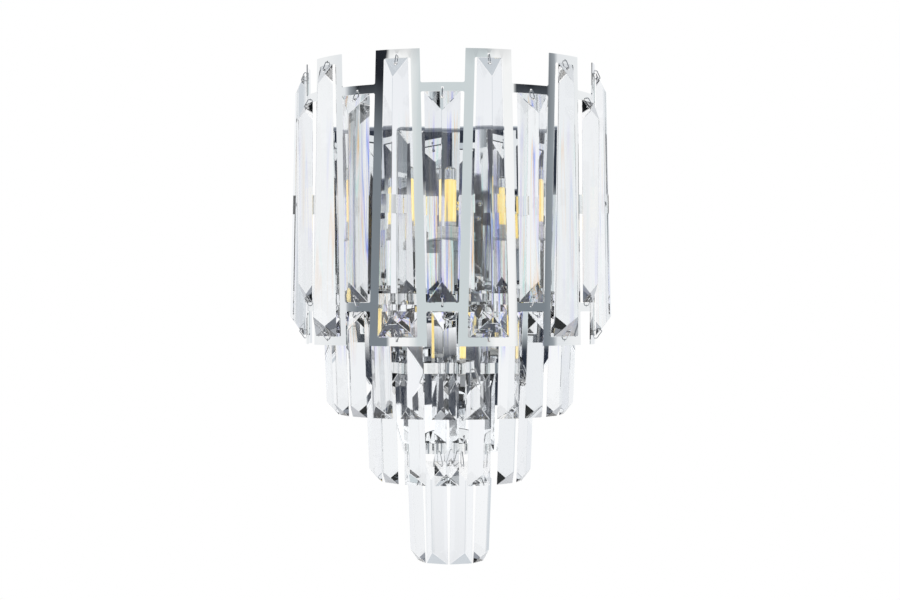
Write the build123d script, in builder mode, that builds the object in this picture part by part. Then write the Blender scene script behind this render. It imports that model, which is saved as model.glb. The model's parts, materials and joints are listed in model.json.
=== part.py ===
"""Crystal wall sconce: a cut-out steel band with tapered glass bars, and three half rings of hanging bars.

Millimetres. X runs along the wall, +Z is up and the wall is the plane Y = 0, with the room towards -Y.
The origin is the middle of the wall fixings. Angles are measured about the vertical drum axis, from
straight ahead (-Y) towards +X.
"""

from build123d import *

import os
from math import atan2, cos, degrees, radians, sin

os.makedirs("parts", exist_ok=True)

# Clearances -------------------------------------------------------------------------------------------
running_gap = 0.3  # between a loose piece and what it bears on
back_gap = 1.5  # from a ring or the band to the flat back of the glass bars
screw_play = 0.2  # round a screw or stud in its hole
hole_sides = 8  # flats of small drilled holes, pins and screws

# Back tray --------------------------------------------------------------------------------------------
tray_depth = 24.0
tray_sheet = 1.2
tray_edge_radius = 3.0
tray_top_radius = 5.0  # the fold along the upper edge is softer
tray_top = 83.0
tray_side_margin = 9.0  # tray beyond the largest half ring, each side
tray_shoulder_drop = 21.0  # straight side below the foot of the largest half ring
tray_waist_margin = 23.5  # tray beyond the smallest half ring, each side, where the foot's chamfer begins
tray_foot_margin = 15.5  # the same at the tray's lower edge
tray_foot_chamfer = 28.0  # height of the chamfer at the foot
tray_hole_reach = 2.0  # how far the tray's drills pass its sheet, each side

# Crystal band -----------------------------------------------------------------------------------------
band_radius = 152.0
band_sheet = 1.2
band_top = 144.5
band_height = 291.0
strip = 8.6  # height of every horizontal ribbon
stile = 9.3  # width of every upright ribbon
frame_count = 6
frame_pitch = 34.5  # degrees from frame to frame
frame_top_angle = 8.75  # half the angle that a frame spans at the top
frame_foot_angle = 11.6  # the same at the foot
upper_bar_drop = 33.3  # band top to the upper crossbar
lower_bar_rise = 34.1  # band foot to the lower crossbar
corner_radius = 1.8

# Glass bars -------------------------------------------------------------------------------------------
long_top_width = 25.0
long_foot_width = 40.0
long_foot_ridge = 16.0  # height of the ridge over the flat back, at the wide end
short_top_width = 36.0
short_foot_width = 30.0
short_top_ridge = 13.0
bar_end_gap = 0.5  # from a bar of the band to the ribbon above and below
hanging_width = 25.4
hanging_ridge = 12.0
hanging_length = 107.3
bar_bevel = 20.0  # length of a tapered bar's end bevels along the ridge
hanging_top_bevel = 18.5
hanging_foot_bevel = 14.0
eye_drop = 5.5  # end of a bar to the middle of its eye
eye_radius = 1.5

# Wire links -------------------------------------------------------------------------------------------
wire = 1.0
link_corner = 0.8
link_hole = 2.4  # side of the square punched hole that a link passes through
link_hole_rise = 3.2  # ribbon edge to the link's hole

# Half rings -------------------------------------------------------------------------------------------
ring_sheet = 1.5
ring_height = 11.0
ring_tab = 12.0
hang_gap = 7.0  # ring foot to the top of the hanging bars
upper_ring_radius = 120.8
upper_ring_top = -95.0
upper_ring_count = 11
upper_ring_pitch = 16.0
middle_ring_radius = 76.7
middle_ring_top = -165.0
middle_ring_count = 7
middle_ring_pitch = 25.8
lower_ring_radius = 34.5
lower_ring_top = -250.0
lower_ring_count = 4
lower_ring_pitch = 45.0

# Fixings ----------------------------------------------------------------------------------------------
strap_height = 20.0
strap_sheet = 2.0
strap_tab_length = 20.0
strap_bend_radius = 3.0
stud_spacing = 110.0
stud_radius = 2.0
stud_head_radius = 4.0
stud_head_height = 1.0
stud_reach = 4.5  # stud beyond the strap
nut_radius = 5.2
nut_height = 8.0
nut_collar = 3.0
nut_sides = 6
nut_flat = nut_radius * cos(radians(180 / nut_sides))  # half the width across the flats
nut_dome_radius = 3.6
screw_radius = 1.5
screw_head_radius = 3.0
screw_head_height = 1.8
screw_reach = 1.2  # screw beyond the sheet that it bites in
bracket_length = 150.0
bracket_height = 26.0
bracket_sheet = 1.5
bracket_corner = 5.0
bracket_hole_spacing = 80.0
bracket_hole_radius = 2.5
cable_hole_radius = 9.0

# Lamps ------------------------------------------------------------------------------------------------
upper_lamp_offset = 42.0
upper_lamp_seat = -36.0
lower_lamp_offset = 18.0
lower_lamp_seat = -178.0
lamp_reach = 45.0  # tray face to the lamp's axis
arm_width = 16.0
arm_rise = 14.0
arm_sheet = 1.5
arm_corner = 4.0
holder_radius = 9.0
holder_height = 12.0
holder_edge = 1.0
lamp_radius = 6.5
lamp_base_radius = 6.0
lamp_base_height = 1.5
lamp_tip = 2.5
lamp_length = 62.0
pin_radius = 0.75
pin_length = 7.0
pin_spacing = 9.0
terminal_width = 34.0
terminal_height = 15.0
terminal_depth = 14.0
terminal_drop = 34.0
terminal_bore_radius = 2.0
terminal_bore_count = 3
terminal_corner = 1.9

# Worked-out places ------------------------------------------------------------------------------------
axis_y = -tray_depth  # the drum axis lies in the tray's face
band_foot = band_top - band_height
upper_bar_top = band_top - upper_bar_drop
upper_bar_foot = upper_bar_top - strip
lower_bar_foot = band_foot + lower_bar_rise
lower_bar_top = lower_bar_foot + strip
upper_ring_foot = upper_ring_top - ring_height
lower_ring_foot = lower_ring_top - ring_height
tray_half_width = upper_ring_radius + tray_side_margin
tray_shoulder = upper_ring_foot - tray_shoulder_drop
tray_waist = lower_ring_radius + tray_waist_margin
tray_foot = lower_ring_radius + tray_foot_margin
tray_bottom = lower_ring_foot - running_gap
eye_play = eye_radius - wire / 2 - 2 * running_gap  # the wire's centre over the eye's centre


def outward(angle):
    """Horizontal direction away from the drum axis."""
    return Vector(sin(radians(angle)), -cos(radians(angle)), 0)


def around(angle):
    """Horizontal direction along the drum's surface, towards +X."""
    return Vector(cos(radians(angle)), sin(radians(angle)), 0)


def facing_plane(angle):
    """Upright plane through the axis: local x runs round the drum, y is up, and it faces outward."""
    return Plane(origin=(0, axis_y, 0), x_dir=around(angle), z_dir=outward(angle))


def radial_plane(angle):
    """Upright plane through the axis: local x runs outward and local y is up."""
    return Plane(origin=(0, axis_y, 0), x_dir=outward(angle), z_dir=-around(angle))


def bar_plane(angle, radius, height, lean=0.0):
    """Level plane at a glass bar: local x round the drum, y towards the axis, and z up its length."""
    up = Vector(0, 0, 1) * cos(radians(lean)) + outward(angle) * sin(radians(lean))
    origin = outward(angle) * radius + Vector(0, axis_y, height)
    return Plane(origin=origin, x_dir=around(angle), z_dir=up)


def spread(count, pitch):
    """Angles of equally spaced pieces, symmetric about straight ahead."""
    return [(i - (count - 1) / 2) * pitch for i in range(count)]


def side_cut(place, top_width, foot_width, top_ridge, length, side):
    """Plane of a tapered bar's long face, through its two back corners and its ridge."""
    top_corner = place.from_local_coords(Vector(side * top_width / 2, 0, 0))
    foot_corner = place.from_local_coords(Vector(side * foot_width / 2, 0, -length))
    ridge_end = place.from_local_coords(Vector(0, -top_ridge, 0))
    normal = (foot_corner - top_corner).cross(ridge_end - top_corner) * -side
    return Plane(origin=top_corner, z_dir=normal)


def end_cut(place, height, ridge, bevel, up):
    """Plane of an end bevel, from the back's edge at a height to the ridge, bevel further in."""
    normal = place.z_dir * up * ridge - place.y_dir * bevel
    return Plane(origin=place.offset(height).origin, x_dir=place.x_dir, z_dir=normal)


def glass_bar(place, widths, top_ridge, length, bevels, eye_heights):
    """Three-sided bar hanging below place, with its flat back on the axis side and both ends bevelled.

    Widths and bevels are those of the top and the foot. The ridge keeps its proportion to the width, so
    that the long faces stay flat.
    """
    top_width, foot_width = widths
    top_bevel, foot_bevel = bevels
    foot_ridge = top_ridge * foot_width / top_width
    ridge_slope = (foot_ridge - top_ridge) / length
    wide, deep = max(widths), max(top_ridge, foot_ridge)
    with BuildPart() as bar:
        with BuildSketch(place):
            Polygon((-wide / 2, 0), (0, -deep), (wide / 2, 0))
        extrude(amount=-length)
        if top_width != foot_width:
            for side in (-1, 1):
                long_face = side_cut(place, top_width, foot_width, top_ridge, length, side)
                split(bisect_by=long_face, keep=Keep.BOTTOM)
        split(
            bisect_by=end_cut(place, 0, top_ridge + ridge_slope * top_bevel, top_bevel, 1),
            keep=Keep.BOTTOM,
        )
        split(
            bisect_by=end_cut(place, -length, foot_ridge - ridge_slope * foot_bevel, foot_bevel, -1),
            keep=Keep.BOTTOM,
        )
        for height in eye_heights:
            eye_origin = place.offset(height).origin
            with BuildSketch(Plane(origin=eye_origin, x_dir=place.x_dir, z_dir=-place.y_dir)):
                RegularPolygon(eye_radius, hole_sides, major_radius=False)
            extrude(amount=deep, mode=Mode.SUBTRACT)
    return bar.part


def eye_depth(ridge, bevel):
    """Glass thickness at an eye, where the end bevel has thinned the bar."""
    return ridge * eye_drop / bevel


def link_sides(radius, sheet, ridge, bevel):
    """Inner and outer radius of a wire link round a ribbon of this sheet and a bar of this ridge."""
    inner = radius - sheet - running_gap - wire
    thickest = ridge * (eye_drop + eye_radius) / bevel
    outer = radius + back_gap + thickest + running_gap + wire
    return inner, outer


def wire_link(angle, sides, low, high):
    """Closed wire link in the upright radial plane, between two wire centre heights."""
    inner, outer = sides
    with BuildPart() as link:
        with BuildSketch(radial_plane(angle)) as loop:
            with Locations(((inner + outer) / 2, (low + high) / 2)):
                Rectangle(outer - inner, high - low + wire)
                chamfer(loop.vertices(), link_corner)
                Rectangle(outer - inner - 2 * wire, high - low - wire, mode=Mode.SUBTRACT)
        extrude(amount=wire / 2, both=True)
    return link.part


def band_half_angle(height):
    """Half the angle that a frame spans at a height."""
    share = (band_top - height) / band_height
    return frame_top_angle + (frame_foot_angle - frame_top_angle) * share


def upright_panel(half_width_at, low, high):
    """Four-sided outline between two heights, with a half width that changes with height."""
    Polygon(
        (-half_width_at(low), low),
        (half_width_at(low), low),
        (half_width_at(high), high),
        (-half_width_at(high), high),
    )


def window_half_width(height):
    """Half width of the opening in a frame."""
    return band_radius * sin(radians(band_half_angle(height))) - stile


def gap_half_width(height):
    """Half width of the gap between two frames."""
    return band_radius * sin(radians(frame_pitch / 2 - band_half_angle(height)))


frame_angles = spread(frame_count, frame_pitch)
gap_angles = spread(frame_count - 1, frame_pitch)
end_angles = [frame_angles[0] - frame_pitch / 2, frame_angles[-1] + frame_pitch / 2]
band_end_angle = frame_angles[-1] + band_half_angle(0.0)
end_stile_angle = band_end_angle - degrees(stile / 2 / band_radius)
cut_reach = band_radius + band_sheet
over = strip / 2  # how far an open cut passes the ribbon's edge

# Crystal band -----------------------------------------------------------------------------------------
with BuildPart() as crystal_band:
    with BuildSketch(Plane.XY.offset(band_foot)):
        with Locations((0, axis_y)):
            Circle(band_radius)
            Circle(band_radius - band_sheet, mode=Mode.SUBTRACT)
    extrude(amount=band_height)
    for angle in frame_angles:
        with BuildSketch(facing_plane(angle)) as window:
            upright_panel(window_half_width, band_foot + strip, band_top - strip)
            fillet(window.vertices(), corner_radius)
        extrude(amount=cut_reach, mode=Mode.SUBTRACT)
    for angle in gap_angles:
        with BuildSketch(facing_plane(angle)) as gap:
            upright_panel(gap_half_width, upper_bar_top, band_top + over)
            upright_panel(gap_half_width, lower_bar_top, upper_bar_foot)
            upright_panel(gap_half_width, band_foot - over, lower_bar_foot)
            fillet(gap.vertices(), corner_radius)
        extrude(amount=cut_reach, mode=Mode.SUBTRACT)
    for angle in end_angles:
        with BuildSketch(facing_plane(angle)):
            upright_panel(gap_half_width, band_foot - over, band_top + over)
        extrude(amount=cut_reach, mode=Mode.SUBTRACT)
    with BuildSketch(Plane.XY.offset(band_foot)):
        with Locations((0, axis_y - band_radius * cos(radians(end_angles[-1])))):
            Rectangle(2 * cut_reach, 2 * band_radius, align=(Align.CENTER, Align.MIN))
    extrude(amount=band_height, mode=Mode.SUBTRACT)
    for angle in frame_angles:
        with BuildSketch(facing_plane(angle)):
            with Locations((0, band_top - strip + link_hole_rise), (0, band_foot + strip - link_hole_rise)):
                Rectangle(link_hole, link_hole)
        extrude(amount=cut_reach, mode=Mode.SUBTRACT)
    for angle in gap_angles:
        with BuildSketch(facing_plane(angle)):
            with Locations((0, upper_bar_foot + link_hole_rise), (0, lower_bar_top - link_hole_rise)):
                Rectangle(link_hole, link_hole)
        extrude(amount=cut_reach, mode=Mode.SUBTRACT)
    for angle in (-end_stile_angle, end_stile_angle):
        with BuildSketch(facing_plane(angle)):
            RegularPolygon(screw_radius + screw_play, hole_sides)
        extrude(amount=cut_reach, mode=Mode.SUBTRACT)
crystal_band.part.label = "crystal_band"
export_step(crystal_band.part, "parts/crystal_band.step")

# Tapered bars of the band -----------------------------------------------------------------------------
bar_back_radius = band_radius + back_gap
long_bar_top = band_top - strip - bar_end_gap
long_bar_foot = band_foot + strip + bar_end_gap
long_top_ridge = long_foot_ridge * long_top_width / long_foot_width
for number, angle in enumerate(frame_angles, start=1):
    long_bar = glass_bar(
        bar_plane(angle, bar_back_radius, long_bar_top),
        (long_top_width, long_foot_width),
        long_top_ridge,
        long_bar_top - long_bar_foot,
        (bar_bevel, bar_bevel),
        (-eye_drop, long_bar_foot - long_bar_top + eye_drop),
    )
    long_bar.label = f"long_crystal_{number}"
    export_step(long_bar, f"parts/long_crystal_{number}.step")

short_bar_top = upper_bar_foot - bar_end_gap
short_bar_foot = lower_bar_top + bar_end_gap
short_foot_ridge = short_top_ridge * short_foot_width / short_top_width
for number, angle in enumerate(gap_angles, start=1):
    short_bar = glass_bar(
        bar_plane(angle, bar_back_radius, short_bar_top),
        (short_top_width, short_foot_width),
        short_top_ridge,
        short_bar_top - short_bar_foot,
        (bar_bevel, bar_bevel),
        (-eye_drop, short_bar_foot - short_bar_top + eye_drop),
    )
    short_bar.label = f"short_crystal_{number}"
    export_step(short_bar, f"parts/short_crystal_{number}.step")

# Links of the band: the wire lies a running gap inside each hole's edge ---------------------------------
hole_play = link_hole / 2 - wire / 2 - running_gap
with BuildPart() as band_top_links:
    for angle in frame_angles:
        sides = link_sides(band_radius, band_sheet, long_top_ridge, bar_bevel)
        low = long_bar_top - eye_drop + eye_play
        add(wire_link(angle, sides, low, band_top - strip + link_hole_rise - hole_play))
    for angle in gap_angles:
        sides = link_sides(band_radius, band_sheet, short_top_ridge, bar_bevel)
        low = short_bar_top - eye_drop + eye_play
        add(wire_link(angle, sides, low, upper_bar_foot + link_hole_rise - hole_play))
band_top_links.part.label = "band_top_links"
export_step(band_top_links.part, "parts/band_top_links.step")

with BuildPart() as band_foot_links:
    for angle in frame_angles:
        sides = link_sides(band_radius, band_sheet, long_foot_ridge, bar_bevel)
        high = long_bar_foot + eye_drop - eye_play
        add(wire_link(angle, sides, band_foot + strip - link_hole_rise + hole_play, high))
    for angle in gap_angles:
        sides = link_sides(band_radius, band_sheet, short_foot_ridge, bar_bevel)
        high = short_bar_foot + eye_drop - eye_play
        add(wire_link(angle, sides, lower_bar_top - link_hole_rise + hole_play, high))
band_foot_links.part.label = "band_foot_links"
export_step(band_foot_links.part, "parts/band_foot_links.step")

# Half rings, their links and the bars that swing on them ------------------------------------------------
tab_screws = []


def half_ring(radius, top, angles):
    """Half ring with end tabs that lie on the tray's face, and a link hole over each hanging bar."""
    foot = top - ring_height
    screw_x = radius - ring_tab / 2
    with BuildPart() as ring:
        with BuildSketch(Plane.XY.offset(foot)):
            with Locations((0, axis_y)):
                Circle(radius)
                Circle(radius - ring_sheet, mode=Mode.SUBTRACT)
                Rectangle(
                    2 * radius + ring_tab,
                    radius + ring_tab,
                    align=(Align.CENTER, Align.MIN),
                    mode=Mode.SUBTRACT,
                )
            with Locations((screw_x, axis_y - ring_sheet / 2), (-screw_x, axis_y - ring_sheet / 2)):
                Rectangle(ring_tab, ring_sheet)
        extrude(amount=ring_height)
        for angle in angles:
            with BuildSketch(facing_plane(angle)):
                with Locations((0, foot + link_hole_rise)):
                    Rectangle(link_hole, link_hole)
            extrude(amount=radius + ring_sheet, mode=Mode.SUBTRACT)
        with BuildSketch(Plane.XZ.offset(tray_depth)):
            with Locations((screw_x, top - ring_height / 2), (-screw_x, top - ring_height / 2)):
                RegularPolygon(screw_radius + screw_play, hole_sides)
        extrude(amount=ring_sheet, mode=Mode.SUBTRACT)
    tab_screws.extend([(screw_x, top - ring_height / 2), (-screw_x, top - ring_height / 2)])
    return ring.part


def ring_links(radius, top, angles):
    """One wire link for each hanging bar of a ring."""
    foot = top - ring_height
    with BuildPart() as links:
        for angle in angles:
            sides = link_sides(radius, ring_sheet, hanging_ridge, hanging_top_bevel)
            low = foot - hang_gap - eye_drop + eye_play
            add(wire_link(angle, sides, low, foot + link_hole_rise - hole_play))
    return links.part


def hanging_bar(radius, top, angle):
    """A bar at rest on its link, leaning until its weight is below the wire that it swings on."""
    depth = eye_depth(hanging_ridge, hanging_top_bevel)
    wire_height = top - ring_height - hang_gap - eye_drop + eye_play
    wire_radius = radius + back_gap + depth / 2
    lean = degrees(atan2(weight_depth - depth / 2, weight_drop - eye_drop + eye_play))
    wire_plane = bar_plane(angle, wire_radius, wire_height, lean)
    top_middle = wire_plane.from_local_coords(Vector(0, depth / 2, eye_drop - eye_play))
    return glass_bar(
        Plane(origin=top_middle, x_dir=wire_plane.x_dir, z_dir=wire_plane.z_dir),
        (hanging_width, hanging_width),
        hanging_ridge,
        hanging_length,
        (hanging_top_bevel, hanging_foot_bevel),
        (-eye_drop,),
    )


# The weight's place in a hanging bar: a full prism less the two end wedges, each a third of its bevel long
# in volume, with its weight halfway up the ridge and a quarter of the bevel from the end.
glass_length = hanging_length - (hanging_top_bevel + hanging_foot_bevel) / 3
back_length = hanging_length - (hanging_top_bevel + hanging_foot_bevel) / 2
weight_depth = hanging_ridge * back_length / 3 / glass_length
weight_drop = (
    hanging_length**2 / 2
    - hanging_top_bevel**2 / 12
    - hanging_foot_bevel / 3 * (hanging_length - hanging_foot_bevel / 4)
) / glass_length
half_rings = {
    "upper": (upper_ring_radius, upper_ring_top, spread(upper_ring_count, upper_ring_pitch)),
    "middle": (middle_ring_radius, middle_ring_top, spread(middle_ring_count, middle_ring_pitch)),
    "lower": (lower_ring_radius, lower_ring_top, spread(lower_ring_count, lower_ring_pitch)),
}
for name, (radius, top, angles) in half_rings.items():
    ring = half_ring(radius, top, angles)
    ring.label = f"{name}_ring"
    export_step(ring, f"parts/{name}_ring.step")
    links = ring_links(radius, top, angles)
    links.label = f"{name}_ring_links"
    export_step(links, f"parts/{name}_ring_links.step")
    for number, angle in enumerate(angles, start=1):
        bar = hanging_bar(radius, top, angle)
        bar.label = f"{name}_crystal_{number}"
        export_step(bar, f"parts/{name}_crystal_{number}.step")

# Back tray --------------------------------------------------------------------------------------------
lamp_places = {
    "left": (-upper_lamp_offset, upper_lamp_seat),
    "right": (upper_lamp_offset, upper_lamp_seat),
    "lower": (lower_lamp_offset, lower_lamp_seat),
}
stud_places = [(-stud_spacing / 2, 0), (stud_spacing / 2, 0)]
arm_screw_places = [(x, seat - arm_rise / 2) for x, seat in lamp_places.values()]
tray_outline = [
    (tray_half_width, tray_top),
    (tray_half_width, tray_shoulder),
    (tray_waist, tray_bottom + tray_foot_chamfer),
    (tray_foot, tray_bottom),
]
with BuildPart() as back_tray:
    with BuildSketch(Plane.XZ):
        Polygon(*tray_outline, *[(-x, z) for x, z in reversed(tray_outline)])
    extrude(amount=tray_depth)
    face_edges = back_tray.faces().sort_by(Axis.Y)[0].edges().sort_by(Axis.Z)
    fillet(face_edges[:-1], tray_edge_radius)
    fillet(back_tray.faces().sort_by(Axis.Y)[0].edges().sort_by(Axis.Z)[-1], tray_top_radius)
    offset(amount=-tray_sheet, openings=back_tray.faces().sort_by(Axis.Y)[-1])
    with BuildSketch(Plane.XZ.offset(tray_depth - tray_sheet - tray_hole_reach)):
        with Locations(*stud_places):
            RegularPolygon(stud_radius + screw_play, hole_sides)
        with Locations(*tab_screws, *arm_screw_places):
            RegularPolygon(screw_radius + screw_play, hole_sides)
    extrude(amount=tray_sheet + 2 * tray_hole_reach, mode=Mode.SUBTRACT)
back_tray.part.label = "back_tray"
export_step(back_tray.part, "parts/back_tray.step")

# Cross strap: a flat bar on the tray's face with its ends turned back inside the band --------------------
stile_inner = (band_radius - band_sheet) * sin(radians(band_end_angle))
strap_half = stile_inner - running_gap
with BuildPart() as cross_strap:
    with BuildSketch(Plane.XY.offset(-strap_height / 2)) as strap_section:
        with Locations((0, axis_y - strap_sheet)):
            Rectangle(
                2 * strap_half,
                strap_tab_length + strap_sheet,
                align=(Align.CENTER, Align.MIN),
            )
        fillet(strap_section.vertices().group_by(Axis.Y)[0], strap_bend_radius)
        with Locations((0, axis_y)):
            Rectangle(
                2 * (strap_half - strap_sheet),
                strap_tab_length,
                align=(Align.CENTER, Align.MIN),
                mode=Mode.SUBTRACT,
            )
    extrude(amount=strap_height)
    with BuildSketch(Plane.XZ.offset(tray_depth)):
        with Locations(*stud_places):
            RegularPolygon(stud_radius + screw_play, hole_sides)
    extrude(amount=strap_sheet, mode=Mode.SUBTRACT)
    for angle in (-end_stile_angle, end_stile_angle):
        with BuildSketch(facing_plane(angle)):
            RegularPolygon(screw_radius + screw_play, hole_sides)
        extrude(amount=cut_reach, mode=Mode.SUBTRACT)
cross_strap.part.label = "cross_strap"
export_step(cross_strap.part, "parts/cross_strap.step")

# Wall bracket, studs and dome nuts ------------------------------------------------------------------------
with BuildPart() as wall_bracket:
    with BuildSketch(Plane.XZ) as bracket_outline:
        RectangleRounded(bracket_length, bracket_height, bracket_corner)
        with Locations((-bracket_hole_spacing / 2, 0), (bracket_hole_spacing / 2, 0)):
            Circle(bracket_hole_radius, mode=Mode.SUBTRACT)
        Circle(cable_hole_radius, mode=Mode.SUBTRACT)
    extrude(amount=bracket_sheet)
wall_bracket.part.label = "wall_bracket"
export_step(wall_bracket.part, "parts/wall_bracket.step")

stud_end = tray_depth + strap_sheet + stud_reach
with BuildPart() as fixing_studs:
    with BuildSketch(Plane.XZ.offset(bracket_sheet)):
        with Locations(*stud_places):
            RegularPolygon(stud_head_radius, hole_sides)
    extrude(amount=stud_head_height)
    with BuildSketch(Plane.XZ.offset(bracket_sheet)):
        with Locations(*stud_places):
            RegularPolygon(stud_radius, hole_sides)
    extrude(amount=stud_end - bracket_sheet)
fixing_studs.part.label = "fixing_studs"
export_step(fixing_studs.part, "parts/fixing_studs.step")

nut_seat = Plane.XZ.offset(tray_depth + strap_sheet)
with BuildPart() as dome_nuts:
    with BuildSketch(nut_seat):
        with Locations(*stud_places):
            RegularPolygon(nut_radius, nut_sides)
    extrude(amount=nut_collar)
    with BuildSketch(nut_seat.offset(nut_collar)):
        with Locations(*stud_places):
            Circle(nut_flat)
    extrude(amount=nut_height - nut_collar)
    fillet(dome_nuts.faces().sort_by(Axis.Y)[0:2].edges(), nut_dome_radius)
    with BuildSketch(nut_seat):
        with Locations(*stud_places):
            RegularPolygon(stud_radius + screw_play / 2, hole_sides)
    extrude(amount=stud_reach + running_gap, mode=Mode.SUBTRACT)
dome_nuts.part.label = "dome_nuts"
export_step(dome_nuts.part, "parts/dome_nuts.step")

# Screws ---------------------------------------------------------------------------------------------------
with BuildPart() as tab_screw_set:
    dome_plane = Plane.XZ.offset(tray_depth + ring_sheet)
    with BuildSketch(dome_plane):
        with Locations(*tab_screws):
            RegularPolygon(screw_head_radius, hole_sides)
    extrude(amount=screw_head_height)
    with BuildSketch(dome_plane):
        with Locations(*tab_screws):
            RegularPolygon(screw_radius, hole_sides)
    extrude(amount=-(ring_sheet + tray_sheet + screw_reach))
tab_screw_set.part.label = "ring_screws"
export_step(tab_screw_set.part, "parts/ring_screws.step")

with BuildPart() as band_screws:
    for angle in (-end_stile_angle, end_stile_angle):
        head_plane = facing_plane(angle).offset(band_radius)
        with BuildSketch(head_plane):
            RegularPolygon(screw_head_radius, hole_sides)
        extrude(amount=screw_head_height)
        with BuildSketch(head_plane):
            RegularPolygon(screw_radius, hole_sides)
        extrude(amount=-(band_sheet + running_gap + strap_sheet + screw_reach))
band_screws.part.label = "band_screws"
export_step(band_screws.part, "parts/band_screws.step")

# Lamps with their holders and arms ------------------------------------------------------------------------
for name, (x, seat) in lamp_places.items():
    lamp_y = axis_y - lamp_reach
    with BuildPart() as arm:
        with BuildSketch(Plane.YZ.offset(x)):
            with Locations((axis_y, seat)):
                Rectangle(lamp_reach + holder_radius, arm_sheet, align=(Align.MAX, Align.MAX))
                Rectangle(arm_sheet, arm_rise, align=(Align.MAX, Align.MAX))
        extrude(amount=arm_width / 2, both=True)
        fillet(arm.edges().filter_by(Axis.Z).group_by(Axis.Y)[0], arm_corner)
        with BuildSketch(Plane.XZ.offset(tray_depth)):
            with Locations((x, seat - arm_rise / 2)):
                RegularPolygon(screw_radius + screw_play, hole_sides)
        extrude(amount=arm_sheet, mode=Mode.SUBTRACT)
    arm.part.label = f"lamp_arm_{name}"
    export_step(arm.part, f"parts/lamp_arm_{name}.step")

    pin_places = [(x - pin_spacing / 2, lamp_y), (x + pin_spacing / 2, lamp_y)]
    with BuildPart() as holder:
        with BuildSketch(Plane.XY.offset(seat)):
            with Locations((x, lamp_y)):
                Circle(holder_radius)
        extrude(amount=holder_height)
        chamfer(holder.faces().sort_by(Axis.Z)[-1].edges(), holder_edge)
        with BuildSketch(Plane.XY.offset(seat + holder_height - pin_length - running_gap)):
            with Locations(*pin_places):
                RegularPolygon(pin_radius + screw_play, hole_sides)
        extrude(amount=pin_length + holder_edge, mode=Mode.SUBTRACT)
    holder.part.label = f"lamp_holder_{name}"
    export_step(holder.part, f"parts/lamp_holder_{name}.step")

    holder_top = seat + holder_height
    with BuildPart() as lamp:
        with BuildSketch(Plane.XY.offset(holder_top)):
            with Locations((x, lamp_y)):
                Circle(lamp_base_radius)
        extrude(amount=lamp_base_height)
        with BuildSketch(Plane.XY.offset(holder_top + lamp_base_height)):
            with Locations((x, lamp_y)):
                Circle(lamp_radius)
        extrude(amount=lamp_length - lamp_base_height)
        chamfer(lamp.faces().sort_by(Axis.Z)[-1].edges(), lamp_tip)
        with BuildSketch(Plane.XY.offset(holder_top)):
            with Locations(*pin_places):
                RegularPolygon(pin_radius, hole_sides)
        extrude(amount=-pin_length)
    lamp.part.label = f"lamp_{name}"
    export_step(lamp.part, f"parts/lamp_{name}.step")

with BuildPart() as arm_screws:
    arm_plane = Plane.XZ.offset(tray_depth + arm_sheet)
    with BuildSketch(arm_plane):
        with Locations(*arm_screw_places):
            RegularPolygon(screw_head_radius, hole_sides)
    extrude(amount=screw_head_height)
    with BuildSketch(arm_plane):
        with Locations(*arm_screw_places):
            RegularPolygon(screw_radius, hole_sides)
    extrude(amount=-(arm_sheet + tray_sheet + screw_reach))
arm_screws.part.label = "arm_screws"
export_step(arm_screws.part, "parts/arm_screws.step")

# Terminal block on the tray's inner face -------------------------------------------------------------------
with BuildPart() as terminal_block:
    with BuildSketch(Plane.XZ.offset(tray_depth - tray_sheet - terminal_depth)):
        with Locations((0, -terminal_drop)):
            RectangleRounded(terminal_width, terminal_height, terminal_corner)
    extrude(amount=terminal_depth)
    with BuildSketch(Plane.XY.offset(-terminal_drop - terminal_height / 2)):
        with GridLocations(terminal_width / terminal_bore_count, 0, terminal_bore_count, 1):
            with Locations((0, -(tray_depth - tray_sheet - terminal_depth / 2))):
                RegularPolygon(terminal_bore_radius, hole_sides)
    extrude(amount=terminal_height, mode=Mode.SUBTRACT)
terminal_block.part.label = "terminal_block"
export_step(terminal_block.part, "parts/terminal_block.step")
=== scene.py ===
"""Looks for the crystal wall sconce: cut glass, mirror-polished sheet, wire links, lamps and a studio.

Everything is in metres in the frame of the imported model: X along the wall, +Z up, the wall at Y = 0 and
the room towards -Y. Angles are measured about the upright drum axis, from straight ahead towards +X.
"""

from __future__ import annotations

import json
import logging
import math
from dataclasses import dataclass, field
from enum import Enum
from typing import Any, Protocol

import bmesh
import bpy
import numpy as np
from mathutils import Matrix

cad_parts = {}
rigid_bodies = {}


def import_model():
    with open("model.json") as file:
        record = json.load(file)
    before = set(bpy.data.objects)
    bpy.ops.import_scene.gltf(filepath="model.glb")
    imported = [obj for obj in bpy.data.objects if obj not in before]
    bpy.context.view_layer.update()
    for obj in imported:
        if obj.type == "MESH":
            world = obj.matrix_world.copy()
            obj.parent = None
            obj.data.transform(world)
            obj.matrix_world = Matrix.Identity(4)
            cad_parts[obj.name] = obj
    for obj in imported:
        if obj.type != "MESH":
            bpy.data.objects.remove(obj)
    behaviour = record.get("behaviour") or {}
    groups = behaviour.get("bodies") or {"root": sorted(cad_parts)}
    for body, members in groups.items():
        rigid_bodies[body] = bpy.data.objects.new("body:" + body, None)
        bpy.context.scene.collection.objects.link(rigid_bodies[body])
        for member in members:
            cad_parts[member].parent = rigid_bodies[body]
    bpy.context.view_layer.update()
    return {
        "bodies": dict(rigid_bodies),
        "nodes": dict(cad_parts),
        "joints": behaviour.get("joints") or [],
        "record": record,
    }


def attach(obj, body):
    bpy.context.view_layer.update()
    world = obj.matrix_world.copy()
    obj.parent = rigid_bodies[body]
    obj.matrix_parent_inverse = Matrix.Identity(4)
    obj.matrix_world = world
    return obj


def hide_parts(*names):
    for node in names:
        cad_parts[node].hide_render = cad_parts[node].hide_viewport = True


log = logging.getLogger("sconce")
MM = 0.001
ROOT = "sconce"
AXIS_Y = -0.024
HALF_TURN = 180.0
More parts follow.
